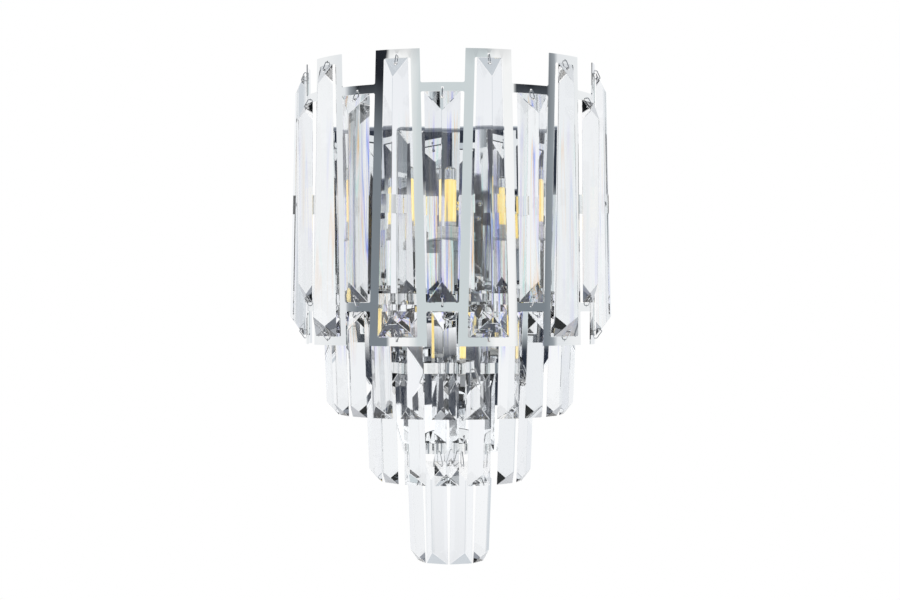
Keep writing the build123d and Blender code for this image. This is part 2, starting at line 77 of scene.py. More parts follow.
MIX_SHARE, MIX_FIRST, MIX_SECOND, MIX_COLOUR = 0, 6, 7, 2  # colour sockets of a Mix node
UPRIGHT = np.array([0.0, 0.0, 1.0])
AHEAD = np.array([0.0, -1.0, 0.0])
AXIS = np.array([0.0, AXIS_Y, 0.0])

Vector = tuple[float, float, float]
Span = tuple[float, float]
Colour = tuple[float, float, float, float]
Stop = tuple[float, Colour]
Mesh = tuple[np.ndarray, np.ndarray]


class Tier(Enum):
    """The three half rings of hanging bars."""

    UPPER = "upper"
    MIDDLE = "middle"
    LOWER = "lower"


class Edge(Enum):
    """The two edges of the band that its bars are tied at."""

    TOP = 1.0
    FOOT = -1.0


# ---------------------------------------------------------------------------------------------------------
# Shader maths
# ---------------------------------------------------------------------------------------------------------


@dataclass(frozen=True)
class Level:
    """A number that a node gives, on which Python's operators add Math nodes."""

    sheet: "Sheet"
    socket: bpy.types.NodeSocket

    def _math(self, operation: str, first: Any, second: Any = 0.0) -> "Level":
        """The result of a Math node on two operands, each a Level or a number."""
        node = self.sheet.node("ShaderNodeMath", {"operation": operation}, {0: first, 1: second})
        return Level(self.sheet, node.outputs[0])

    def __add__(self, other: Any) -> "Level":
        """Sum."""
        return self._math("ADD", self, other)

    __radd__ = __add__

    def __mul__(self, other: Any) -> "Level":
        """Product."""
        return self._math("MULTIPLY", self, other)

    __rmul__ = __mul__

    def __sub__(self, other: Any) -> "Level":
        """Difference."""
        return self._math("SUBTRACT", self, other)

    def __rsub__(self, other: Any) -> "Level":
        """Difference, the other way round."""
        return self._math("SUBTRACT", other, self)

    def __truediv__(self, other: Any) -> "Level":
        """Quotient."""
        return self._math("DIVIDE", self, other)

    def clamped(self) -> "Level":
        """The level kept between 0 and 1."""
        return self._math("MINIMUM", self.maximum(0.0), 1.0)

    def between(self, none: float, full: float) -> "Level":
        """How far the level has gone from one value, as 0, to another, as 1, in a straight line."""
        return ((self - none) * (1.0 / (full - none))).clamped()

    def maximum(self, other: Any) -> "Level":
        """The larger of two levels."""
        return self._math("MAXIMUM", self, other)

    def magnitude(self) -> "Level":
        """The level without its sign."""
        return self._math("ABSOLUTE", self)

    def heading(self, other: Any) -> "Level":
        """The angle in radians whose tangent is this level over the other."""
        return self._math("ARCTAN2", self, other)


class Sheet:
    """A shader tree that nodes are laid on."""

    def __init__(self, tree: bpy.types.NodeTree) -> None:
        """Empties the tree.

        Args:
            tree: the node tree of a material or a world.
        """
        self.tree = tree
        tree.nodes.clear()

    def node(self, kind: str, settings: dict[str, Any], inputs: dict[Any, Any]) -> bpy.types.Node:
        """Adds any node: its settings first, and then its sockets.

        Args:
            kind: the node's type name.
            settings: node attributes, with a ramp's stops under "stops".
            inputs: values, Levels or sockets by socket name or number.

        Returns:
            The node.
        """
        made = self.tree.nodes.new(kind)
        for name, value in settings.items():
            if name == "stops":
                self._set_stops(made.color_ramp, value)
            else:
                setattr(made, name, value)
        for name, value in inputs.items():
            if isinstance(value, Level):
                self.tree.links.new(value.socket, made.inputs[name])
            elif isinstance(value, bpy.types.NodeSocket):
                self.tree.links.new(value, made.inputs[name])
            else:
                made.inputs[name].default_value = value
        return made

    @staticmethod
    def _set_stops(ramp: bpy.types.ColorRamp, stops: list[Stop]) -> None:
        """Sets a ramp's stops.

        Args:
            ramp: the ramp.
            stops: positions with their RGBA colours, in rising order.
        """
        while len(ramp.elements) > 1:
            ramp.elements.remove(ramp.elements[-1])
        ramp.elements[0].position, ramp.elements[0].color = stops[0]
        for position, colour in stops[1:]:
            ramp.elements.new(position).color = colour

    def level(self, kind: str, settings: dict[str, Any], inputs: dict[Any, Any], output: Any) -> Level:
        """Adds a node and gives one of its outputs as a Level."""
        return Level(self, self.node(kind, settings, inputs).outputs[output])

    def place(self) -> bpy.types.NodeSocket:
        """The point on the piece, in the model's own coordinates."""
        return self.node("ShaderNodeTexCoord", {}, {}).outputs["Object"]

    def along(self, axis: str) -> Level:
        """Where the point on the piece lies along one axis."""
        return self.level("ShaderNodeSeparateXYZ", {}, {0: self.place()}, axis)

    def stretched(self, scale: Vector) -> bpy.types.NodeSocket:
        """The point on the piece, scaled along each axis."""
        return self.node("ShaderNodeMapping", {}, {"Vector": self.place(), "Scale": scale}).outputs[0]

    def noise(self, scale: Vector, detail: float) -> Level:
        """Cloudy noise from 0 to 1, by its clouds per metre along each axis and its octaves."""
        inputs = {"Vector": self.stretched(scale), "Scale": 1.0, "Detail": detail}
        return self.level("ShaderNodeTexNoise", {}, inputs, 0)

    def cells(self, scale: Vector, scatter: float) -> Level:
        """How far the nearest of many scattered points is, by the points per metre along each axis."""
        inputs = {"Vector": self.stretched(scale), "Scale": 1.0, "Randomness": scatter}
        return self.level("ShaderNodeTexVoronoi", {"feature": "F1"}, inputs, 0)

    def ramp(self, level: Level, stops: list[Stop]) -> bpy.types.NodeSocket:
        """A colour ramp over a level."""
        return self.node("ShaderNodeValToRGB", {"stops": stops}, {0: level}).outputs[0]

    def blend(self, share: Level, first: Any, second: Any) -> bpy.types.NodeSocket:
        """A mix of two colours.

        Args:
            share: how much of the second colour shows, from 0 to 1.
            first: a colour or its socket.
            second: a colour or its socket.

        Returns:
            The mixed colour.
        """
        settings = {"data_type": "RGBA", "blend_type": "MIX", "clamp_factor": True}
        inputs = {MIX_SHARE: share, MIX_FIRST: first, MIX_SECOND: second}
        return self.node("ShaderNodeMix", settings, inputs).outputs[MIX_COLOUR]

    def bump(self, height: Level, depth: float, strength: float = 1.0) -> bpy.types.NodeSocket:
        """A normal raised by a height map, whose 1 is a depth in metres, with the share that shows."""
        inputs = {"Height": height, "Distance": depth, "Strength": strength}
        return self.node("ShaderNodeBump", {}, inputs).outputs[0]


class Finish(Protocol):
    """A surface finish, with the name of its material."""

    name: str

    def surface(self, sheet: Sheet) -> dict[str, Any]:
        """The Principled shader's socket values and links, with their nodes laid on the sheet."""
        ...


def material_of(finish: Finish) -> bpy.types.Material:
    """Makes the material of a finish.

    Args:
        finish: the finish.

    Returns:
        The material.
    """
    material = bpy.data.materials.new(finish.name)
    material.use_nodes = True
    sheet = Sheet(material.node_tree)
    shader = sheet.node("ShaderNodeBsdfPrincipled", {}, finish.surface(sheet))
    sheet.node("ShaderNodeOutputMaterial", {}, {"Surface": shader.outputs[0]})
    return material


@dataclass(frozen=True)
class MirrorSheet:
    """Mirror-polished stainless sheet: bright, with faint smears and long polishing lines."""

    name: str = "mirror_sheet"
    colour: Colour = (0.90, 0.91, 0.91, 1.0)
    smeared: Colour = (0.85, 0.87, 0.875, 1.0)
    roughness: float = 0.02
    smear: float = 0.05

    def surface(self, sheet: Sheet) -> dict[str, Any]:
        """A smear noise shifts colour and roughness, and fine lines add a slight bump.

        Args:
            sheet: the material's shader tree.

        Returns:
            The shader's sockets.
        """
        smears = sheet.noise((26.0, 26.0, 18.0), 3.0).between(0.52, 0.83)
        lines = sheet.noise((900.0, 900.0, 14.0), 2.0)
        return {
            "Base Color": sheet.blend(smears, self.colour, self.smeared),
            "Metallic": 1.0,
            "Roughness": smears * self.smear + self.roughness,
            "Normal": sheet.bump(lines, 0.0000015),
        }


@dataclass(frozen=True)
class TrayMirror:
    """Polished tray, whose thin face is a little crowned, in a lighter, bluer copy of the sheets' polish:
    painted light that brightens its reflections.
    """

    name: str = "tray_mirror_painted_bright"
    # Lighter and bluer than the other sheets: painted light that brightens the tray's reflections.
    colour: Colour = (0.93, 0.945, 0.96, 1.0)
    smeared: Colour = (0.86, 0.885, 0.91, 1.0)
    crown_middle: float = -0.05
    crown_radius: float = 1.1
    dent: float = 0.0002
    roughness: float = 0.02
    smear: float = 0.05

    def surface(self, sheet: Sheet) -> dict[str, Any]:
        """A crown with dents and smears.

        The crown is a bump whose height falls with the square of the distance above or below its middle,
        over twice the crown's radius. Shallow dents and smears lie on it.

        Args:
            sheet: the material's shader tree.

        Returns:
            The shader's sockets.
        """
        rise = sheet.along("Z") - self.crown_middle
        dents = sheet.noise((22.0, 22.0, 9.0), 1.0)
        height = dents * self.dent - rise * rise / (2 * self.crown_radius)
        smears = sheet.noise((30.0, 30.0, 20.0), 3.0).between(0.5, 0.83)
        return {
            "Base Color": sheet.blend(smears, self.colour, self.smeared),
            "Metallic": 1.0,
            "Roughness": smears * self.smear + self.roughness,
            "Normal": sheet.bump(height, 1.0),
        }


@dataclass(frozen=True)
class CutCrystal:
    """Cut lead crystal: clear, with narrow rainbow streaks of painted light down its length, in place of
    the colours that the glass splits light into.
    """

    name: str = "cut_crystal"
    clear: Colour = (0.985, 0.99, 0.995, 1.0)
    blue: Colour = (0.12, 0.24, 0.96, 1.0)
    violet: Colour = (0.72, 0.62, 0.99, 1.0)
    green: Colour = (0.55, 0.92, 0.84, 1.0)
    orange: Colour = (0.97, 0.50, 0.14, 1.0)
    ior: float = 1.545
    # Heights, side reach and fade of the band where the painted rainbow light shows.
    painted_fire_top: float = 0.085
    painted_fire_foot: float = -0.17
    painted_fire_side: float = 0.125
    painted_fire_fade: float = 0.03

    def surface(self, sheet: Sheet) -> dict[str, Any]:
        """Painted rainbow light, and dust.

        A fine noise, drawn out along the height, picks one painted rainbow colour or none. A coarse one
        says where this painted light shows at all: between the two heights that the tray stands behind, and
        most in front of its middle. A last noise leaves specks of dust, which are a little rough.

        Args:
            sheet: the material's shader tree.

        Returns:
            The shader's sockets.
        """
        across, height = sheet.along("X").magnitude(), sheet.along("Z")
        top, foot, fade = self.painted_fire_top, self.painted_fire_foot, self.painted_fire_fade
        middle = across.between(self.painted_fire_side, self.painted_fire_side - fade)
        behind = height.between(top, top - fade) * height.between(foot, foot + fade) * (middle * 0.7 + 0.3)
        # Painted light: these rainbow streaks stand in for the colours that the glass splits light into.
        streaks = sheet.noise((140.0, 140.0, 4.0), 1.0)
        stops = [
            (0.0, self.clear),
            (0.29, self.clear),
            (0.34, self.blue),
            (0.38, self.violet),
            (0.42, self.clear),
            (0.56, self.clear),
            (0.59, self.green),
            (0.61, self.clear),
            (0.65, self.orange),
            (0.70, self.clear),
        ]
        painted_fire = sheet.ramp(streaks, stops)
        places = sheet.noise((26.0, 26.0, 9.0), 1.0)
        # How much of the painted rainbow light shows at each point.
        share = places.between(0.44, 0.56) * behind
        dust = sheet.noise((420.0, 420.0, 420.0), 3.0)
        return {
            "Base Color": sheet.blend(share, self.clear, painted_fire),
            "Roughness": (dust - 0.7).maximum(0.0) * 0.1,
            "IOR": self.ior,
            "Transmission Weight": 1.0,
        }


@dataclass(frozen=True)
class PlatedSteel:
    """Zinc-plated steel: satin, with a crystalline mottle."""

    name: str = "plated_steel"
    colour: Colour = (0.60, 0.62, 0.64, 1.0)
    pale: Colour = (0.74, 0.75, 0.77, 1.0)
    roughness: float = 0.26

    def surface(self, sheet: Sheet) -> dict[str, Any]:
        """Voronoi cells give the plating's mottle, and noise its dull patches.

        Args:
            sheet: the material's shader tree.

        Returns:
            The shader's sockets.
        """
        cells = sheet.cells((260.0, 260.0, 260.0), 1.0)
        patches = sheet.noise((60.0, 60.0, 60.0), 4.0)
        return {
            "Base Color": sheet.blend(cells * 0.7 + patches * 0.3, self.colour, self.pale),
            "Metallic": 1.0,
            "Roughness": patches * 0.18 + self.roughness,
            "Normal": sheet.bump(cells, 0.00002, 0.5),
        }


@dataclass(frozen=True)
class PhosphorResin:
    """Yellow light-emitting resin of the lamps' cores."""

    name: str = "phosphor_resin"
    colour: Colour = (0.94, 0.67, 0.16, 1.0)
    pale: Colour = (1.0, 0.93, 0.62, 1.0)

    def surface(self, sheet: Sheet) -> dict[str, Any]:
        """Upright streaks of thicker resin, with small emitters as soft dots.

        Args:
            sheet: the material's shader tree.

        Returns:
            The shader's sockets.
        """
        streaks = sheet.noise((210.0, 210.0, 9.0), 2.0)
        emitters = sheet.cells((310.0, 310.0, 190.0), 0.2)
        colour = sheet.blend((streaks - 0.3) * 2.2 + emitters * 0.2, self.pale, self.colour)
        return {
            "Base Color": colour,
            "Roughness": streaks * 0.2 + 0.3,
            "Coat Weight": 0.6,
            "Coat Roughness": 0.08,
            "Emission Color": colour,
            "Emission Strength": 0.85,
            "Normal": sheet.bump(emitters, 0.0002, 0.5),
        }


@dataclass(frozen=True)
class PaleFloor:
    """Pale floor of the studio."""

    name: str = "pale_floor"
    colour: Colour = (0.93, 0.93, 0.93, 1.0)
    pale: Colour = (0.95, 0.95, 0.95, 1.0)

    def surface(self, sheet: Sheet) -> dict[str, Any]:
        """A broad, faint change of tone."""
        tone = sheet.noise((3.0, 3.0, 3.0), 2.0)
        return {"Base Color": sheet.blend(tone, self.colour, self.pale), "Roughness": 0.8}


@dataclass(frozen=True)
class GrainedFinish:
    """Two near shades mixed by a cloudy grain that also dulls the gloss, over a fine relief."""

    name: str
    colour: Colour
    shade: Colour
    grain: Vector
    grain_detail: float
    roughness: float
    dulling: float
    relief: float
    relief_detail: float
    depth: float
    strength: float = 0.6
    constants: tuple[tuple[str, float], ...] = ()

    def surface(self, sheet: Sheet) -> dict[str, Any]:
        """The grain blends the shades and dulls the gloss, and the relief is a bump.

        Args:
            sheet: the material's shader tree.

        Returns:
            The shader's sockets.
        """
        grain = sheet.noise(self.grain, self.grain_detail)
        relief = sheet.noise((self.relief, self.relief, self.relief), self.relief_detail)
        return {
            "Base Color": sheet.blend(grain, self.colour, self.shade),
            "Roughness": grain * self.dulling + self.roughness,
            "Normal": sheet.bump(relief, self.depth, self.strength),
            **dict(self.constants),
        }


BRIGHT_WIRE = GrainedFinish(
    name="bright_wire",
    colour=(0.82, 0.83, 0.84, 1.0),
    shade=(0.66, 0.67, 0.69, 1.0),
    grain=(2600.0, 2600.0, 2600.0),
    grain_detail=2.0,
    roughness=0.09,
    dulling=0.08,
    relief=2600.0,
    relief_detail=2.0,
    depth=0.000004,
    strength=1.0,
    constants=(("Metallic", 1.0),),
)
GLAZED_BODY = GrainedFinish(
    name="glazed_body",
    colour=(0.93, 0.93, 0.91, 1.0),
    shade=(0.84, 0.84, 0.82, 1.0),
    grain=(90.0, 90.0, 90.0),
    grain_detail=5.0,
    roughness=0.25,
    dulling=0.2,
    relief=1500.0,
    relief_detail=2.0,
    depth=0.00003,
    constants=(("Coat Weight", 0.5), ("Coat Roughness", 0.12)),
)
CLEAR_CAPSULE = GrainedFinish(
    name="clear_capsule",
    colour=(0.93, 0.95, 0.96, 1.0),
    shade=(0.86, 0.89, 0.90, 1.0),
    grain=(160.0, 160.0, 60.0),
    grain_detail=3.0,
    roughness=0.0,
    dulling=0.08,
    relief=700.0,
    relief_detail=1.0,
    depth=0.00001,
    constants=(("IOR", 1.41), ("Transmission Weight", 1.0)),
)
MOULDED_NYLON = GrainedFinish(
    name="moulded_nylon",
    colour=(0.83, 0.83, 0.80, 1.0),
    shade=(0.74, 0.74, 0.70, 1.0),
    grain=(2200.0, 2200.0, 2200.0),
    grain_detail=3.0,
    roughness=0.4,
    dulling=0.2,
    relief=2200.0,
    relief_detail=3.0,
    depth=0.00005,
)


# ---------------------------------------------------------------------------------------------------------
# Meshes
# ---------------------------------------------------------------------------------------------------------


def outward(angle: float) -> np.ndarray:
    """Level direction away from the drum axis, for an angle in degrees."""
    turn = math.radians(angle)
    return np.array([math.sin(turn), -math.cos(turn), 0.0])


def around(angle: float) -> np.ndarray:
    """Level direction round the drum towards +X, for an angle in degrees."""
    turn = math.radians(angle)
    return np.array([math.cos(turn), math.sin(turn), 0.0])


def spread(count: int, pitch: float) -> list[float]:
    """Angles of equally spaced pieces, symmetric about straight ahead."""
    return [(i - (count - 1) / 2) * pitch for i in range(count)]


def mesh_object(name: str, points: np.ndarray, faces: np.ndarray, smooth: bool) -> bpy.types.Object:
    """Makes a mesh object from arrays.

    Args:
        name: the piece's name.
        points: the vertices, one row each, in metres.
        faces: four vertex numbers a row.
        smooth: whether its faces are shaded smooth.

    Returns:
        The object, linked to the scene.
    """
    mesh = bpy.data.meshes.new(name)
    mesh.from_pydata(points.tolist(), [], faces.tolist())
    mesh.polygons.foreach_set("use_smooth", np.full(len(mesh.polygons), smooth))
    mesh.update()
    made = bpy.data.objects.new(name, mesh)
    bpy.context.scene.collection.objects.link(made)
    return made


def grid_faces(rows: int, columns: int, close_rows: bool, close_columns: bool) -> np.ndarray:
    """Quads of a grid of points that is stored row by row.

    Args:
        rows: points along the first parameter.
        columns: points along the second parameter.
        close_rows: whether the last row joins the first.
        close_columns: whether the last column joins the first.

    Returns:
        Four vertex numbers a row.
    """
    i = np.arange(rows if close_rows else rows - 1)[:, None]
    j = np.arange(columns if close_columns else columns - 1)[None, :]
    i2, j2 = (i + 1) % rows, (j + 1) % columns
    quads = np.stack([i * columns + j, i2 * columns + j, i2 * columns + j2, i * columns + j2], axis=-1)
    return quads.reshape(-1, 4)


def rounded_path(corners: np.ndarray, radius: float, steps: int) -> np.ndarray:
    """Closed convex outline with round corners.

    At a corner, the arc's centre lies on the bisector of the two sides, the radius over the sine of half
    the corner's angle away. The arc starts and ends a radius over the tangent of that half angle along
    the sides, and its points turn the short way by equal angles.

    Args:
        corners: the corners in order, one row each.
        radius: radius of every corner.
        steps: points in each corner.

    Returns:
        Points in order, one row each.
    """
    back = np.roll(corners, 1, axis=0) - corners
    ahead = np.roll(corners, -1, axis=0) - corners
    back /= np.linalg.norm(back, axis=1, keepdims=True)
    ahead /= np.linalg.norm(ahead, axis=1, keepdims=True)
    half = np.arccos(np.clip(np.sum(back * ahead, axis=1), -1.0, 1.0))[:, None] / 2
    bisector = back + ahead
    bisector /= np.linalg.norm(bisector, axis=1, keepdims=True)
    centre = corners + bisector * radius / np.sin(half)
    first = corners + back * radius / np.tan(half) - centre
    last = corners + ahead * radius / np.tan(half) - centre
    start = np.arctan2(first[:, 1], first[:, 0])
    sweep = (np.arctan2(last[:, 1], last[:, 0]) - start + math.pi) % (2 * math.pi) - math.pi
    turn = start[:, None] + sweep[:, None] * np.linspace(0.0, 1.0, steps)
    arcs = centre[:, None, :] + radius * np.stack([np.cos(turn), np.sin(turn)], axis=-1)
    return arcs.reshape(-1, 2)


@dataclass
class WireLoop:
    """One closed round-wire link, as an outline of its wire's middle in the upright radial plane."""

    angle: float
    corners: list[Span]
    wire_radius: float = 0.5
    corner_radius: float = 0.95

    def build(self, steps: int = 5, sides: int = 10) -> Mesh:
        """Works out the link.

        A circle is carried along the outline, in the plane of the outline's own normal and the direction
        round the drum.

        Args:
            steps: points in each corner.
            sides: points round the wire.

        Returns:
            The points in metres and the quads.
        """
        line = rounded_path(np.array(self.corners, float), self.corner_radius, steps)
        ahead = np.roll(line, -1, axis=0) - np.roll(line, 1, axis=0)
        ahead /= np.linalg.norm(ahead, axis=1, keepdims=True)
        normal = np.stack([ahead[:, 1], -ahead[:, 0]], axis=1)
        turn = np.linspace(0.0, 2 * math.pi, sides, endpoint=False)
        flat = line[:, None, :] + self.wire_radius * np.cos(turn)[None, :, None] * normal[:, None, :]
        across = np.broadcast_to(self.wire_radius * np.sin(turn), flat.shape[:2])
        points = (
            flat[..., 0, None] * outward(self.angle)
            + across[..., None] * around(self.angle)
            + flat[..., 1, None] * UPRIGHT
        )
        points = points.reshape(-1, 3) * MM + AXIS
        return points, grid_faces(len(line), sides, True, True)


def joined(parts: list[Mesh]) -> Mesh:
    """Joins meshes given as points and quads into one.

    Args:
        parts: points and quads of each mesh.

    Returns:
        The points and quads of all.
    """
    starts = np.cumsum([0] + [len(points) for points, _ in parts[:-1]])
    points = np.concatenate([points for points, _ in parts])
    faces = np.concatenate([faces + start for (_, faces), start in zip(parts, starts)])
    return points, faces


def aimed(points: np.ndarray, place: np.ndarray, across: np.ndarray, up: np.ndarray) -> np.ndarray:
    """Puts local points at a place, with their z along up and their x along across."""
    third = np.cross(up, across)
    return place + points @ np.stack([across, third, up])


@dataclass
class PanScrew:
    """A domed screw head with a cross recess, and its plain shank, seated on a face."""

    place: np.ndarray
    direction: np.ndarray
    radius: float = 2.9
    height: float = 1.8
    shank_radius: float = 1.4
    shank: float = 3.8
    rim: float = 0.35
    arm_half_width: float = 0.16
    arm_reach: float = 0.55
    recess: float = 0.55

    def build(self, rings: int = 12, sides: int = 32) -> Mesh:
        """Works out the screw.

        The head is a surface of radius and turn. Its height falls from the middle to a share of it at
        the rim, by the share of the radius to the power 2.4, less a cross whose arms are cut where the
        narrower of the two coordinates is small. The rim then drops to the seat, and the shank follows
        below it.

        Args:
            rings: points from the middle to the rim.
            sides: points round the head.

        Returns:
            The points in metres and the quads.
        """
        share = np.linspace(0.0, 1.0, rings)[:, None]
        turn = np.linspace(0.0, 2 * math.pi, sides, endpoint=False)[None, :]
        x, y = share * np.cos(turn), share * np.sin(turn)
        dome = self.height * (1 - (1 - self.rim) * share**2.4)
        narrow = np.minimum(np.abs(x), np.abs(y))
        reach = np.maximum(np.abs(x), np.abs(y))
        cross = np.clip((self.arm_half_width - narrow) / 0.06, 0, 1)
        cross = cross * np.clip((self.arm_reach - reach) / 0.1, 0, 1) * self.recess
        head = np.stack([x * self.radius, y * self.radius, dome - cross * self.height], axis=-1)
        below_radius = np.array([self.radius, self.shank_radius, self.shank_radius, 0.0])[:, None]
        below_height = np.array([0.0, 0.0, -self.shank, -self.shank])[:, None]
        below = np.stack(
            [
                below_radius * np.cos(turn),
                below_radius * np.sin(turn),
                np.broadcast_to(below_height, (4, sides)),
            ],
            axis=-1,
        )
        local = np.concatenate([head, below]).reshape(-1, 3) * MM
        sideways = np.cross(UPRIGHT, self.direction)
        sideways /= np.linalg.norm(sideways)
        points = aimed(local, self.place * MM, sideways, self.direction)
        return points, grid_faces(rings + 4, sides, False, True)


@dataclass
class Turned:
    """A round body turned from a profile about an upright axis."""

    x: float
    y: float
    foot: float
    profile: list[Span]

    def build(self, sides: int = 48) -> Mesh:
        """Works out the body: each profile point, a radius and a height, is carried round the axis.

        Args:
            sides: points round the axis.

        Returns:
            The points in metres and the quads.
        """
        line = np.array(self.profile, float)
        turn = np.linspace(0.0, 2 * math.pi, sides, endpoint=False)
        points = np.stack(
            [
                self.x + line[:, :1] * np.cos(turn),
                self.y + line[:, :1] * np.sin(turn),
                self.foot + np.broadcast_to(line[:, 1:], (len(line), sides)),
            ],
            axis=-1,
        )
        return points.reshape(-1, 3) * MM, grid_faces(len(line), sides, False, True)


def finish_mesh(made: bpy.types.Object) -> None:
    """Merges a surface's poles and points its faces outwards.

    Args:
        made: the piece.
    """
    work = bmesh.new()
    work.from_mesh(made.data)
    bmesh.ops.remove_doubles(work, verts=work.verts, dist=1e-7)
    bmesh.ops.dissolve_degenerate(work, edges=work.edges, dist=1e-8)
    bmesh.ops.recalc_face_normals(work, faces=work.faces)
    work.to_mesh(made.data)
    work.free()


def smooth_by_angle(made: bpy.types.Object, limit: float) -> None:
    """Marks the edges sharper than a limit in degrees, so that smooth shading stops at them."""
    made.data.polygons.foreach_set("use_smooth", np.full(len(made.data.polygons), True))
    made.data.set_sharp_from_angle(angle=math.radians(limit))


# ---------------------------------------------------------------------------------------------------------
# Sub-assemblies
# ---------------------------------------------------------------------------------------------------------


@dataclass
class Workshop:
    """The loaded frame, and the finished materials that the sub-assemblies share."""

    frame: dict[str, Any]
    finishes: dict[str, bpy.types.Material] = field(default_factory=dict)

    def material(self, finish: Finish) -> bpy.types.Material:
        """The material of a finish, made once.

        Args:
            finish: the finish.

        Returns:
            Its material.
        """
        if finish.name not in self.finishes:
            self.finishes[finish.name] = material_of(finish)
        return self.finishes[finish.name]

    def dress(self, node: str, finish: Finish) -> None:
        """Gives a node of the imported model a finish.

        Args:
            node: the node's name.
            finish: its finish.
        """
        slots = self.frame["nodes"][node].data.materials
        slots.clear()
        slots.append(self.material(finish))
        log.info("dressed %s in %s", node, finish.name)

    def add(self, made: bpy.types.Object, finish: Finish, slot: str, body: str) -> None:
        """Finishes a new piece and lets it ride on a body.

        Args:
            made: the piece.
            finish: its finish.
            slot: its material slot in the record; not used.
            body: the body that it rides on.
        """
        made.data.materials.append(self.material(finish))
        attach(made, body)
        log.info("built %s", made.name)

    def stand_in(self, made: bpy.types.Object, node: str, finish: Finish, slot: str, body: str) -> None:
        """Adds a detailed piece in a node's place."""
        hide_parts(node)
        self.add(made, finish, slot, body)


@dataclass
class GlassBars:
    """All the cut-glass bars, each with its edges eased as polishing leaves them."""

    shop: Workshop
    edge: float = 0.35
    flat_limit: float = 1.0
    sharp_limit: float = 35.0

    def build(self) -> None:
        """Builds one eased bar for each glass node."""
        bodies = self.shop.frame["record"]["behaviour"]["bodies"]
        carried = {node: body for body, nodes in bodies.items() for node in nodes}
        for node in sorted(self.shop.frame["nodes"]):
            if "_crystal_" in node:
                self._ease(node, carried[node])

    def _ease(self, node: str, body: str) -> None:
        """Copies a bar, merges its facets and bevels its edges.

        Args:
            node: the bar's node.
            body: the body that carries it.
        """
        work = bmesh.new()
        work.from_mesh(self.shop.frame["nodes"][node].data)
        bmesh.ops.remove_doubles(work, verts=work.verts, dist=2e-6)
        limit = math.radians(self.flat_limit)
        flat = [e for e in work.edges if len(e.link_faces) == 2 and e.calc_face_angle() < limit]
        bmesh.ops.dissolve_edges(work, edges=flat, use_verts=True)
        mesh = bpy.data.meshes.new(f"{node}_cut")
        work.to_mesh(mesh)
        work.free()
        mesh.polygons.foreach_set("use_smooth", np.full(len(mesh.polygons), False))
        made = bpy.data.objects.new(f"{node}_cut", mesh)
        bpy.context.scene.collection.objects.link(made)
        bevel = made.modifiers.new("eased_edges", "BEVEL")
        bevel.width = self.edge * MM
        bevel.segments = 1
        bevel.limit_method = "ANGLE"
        bevel.angle_limit = math.radians(self.sharp_limit)
        bevel.use_clamp_overlap = True
        self.shop.stand_in(made, node, CutCrystal(), "crystal", body)


@dataclass
class PolishedSheets:
    """The band, the strap, the nuts, the half rings and the tray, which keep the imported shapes."""

    shop: Workshop
    bright: tuple[str, ...] = (
        "crystal_band",
        "cross_strap",
        "upper_ring",
        "middle_ring",
        "lower_ring",
        "dome_nuts",
    )

    def build(self) -> None:
        """Dresses each sheet, and the tray in a lighter, bluer copy of their polish, painted to brighten
        its reflections.
        """
        for node in self.bright:
            self.shop.dress(node, MirrorSheet())
        self.shop.dress("back_tray", TrayMirror())


@dataclass(frozen=True)
class Band:
    """Sizes of the crystal band, in millimetres."""

    radius: float = 152.0
    sheet: float = 1.2
    top: float = 144.5
    height: float = 291.0
    strip: float = 8.6
    stile: float = 9.3
    pitch: float = 34.5
    frame_count: int = 6
    top_half_angle: float = 8.75
    foot_half_angle: float = 11.6
    upper_bar_drop: float = 33.3
    lower_bar_rise: float = 34.1
    bar_bevel: float = 20.0
    long_ridges: Span = (10.0, 16.0)
    short_ridges: Span = (13.0, 10.83)

    def end_stile_angle(self) -> float:
        """Where the band is screwed to the strap.

        Returns:
            Angle of the middle of the last upright ribbon, at the height of the strap.
        """
        share = self.top / self.height
        half = self.top_half_angle + (self.foot_half_angle - self.top_half_angle) * share
        last = (self.frame_count - 1) / 2 * self.pitch
        return last + half - math.degrees(self.stile / 2 / self.radius)


@dataclass(frozen=True)
class HalfRing:
    """Sizes of a half ring, in millimetres."""

    tier: Tier
    radius: float
    top: float
    count: int
    pitch: float
    height: float = 11.0
    sheet: float = 1.5
    tab: float = 12.0
    hang_gap: float = 7.0
    ridge: float = 12.0
    bevel: float = 18.5

    def screw_reach(self) -> float:
        """From the drum axis to the screw in each end tab."""
        return self.radius - self.tab / 2

    def screw_height(self) -> float:
        """Height of the screws in the end tabs."""
        return self.top - self.height / 2


HALF_RINGS = (
    HalfRing(Tier.UPPER, 120.8, -95.0, 11, 16.0),
    HalfRing(Tier.MIDDLE, 76.7, -165.0, 7, 25.8),
    HalfRing(Tier.LOWER, 34.5, -250.0, 4, 45.0),
)


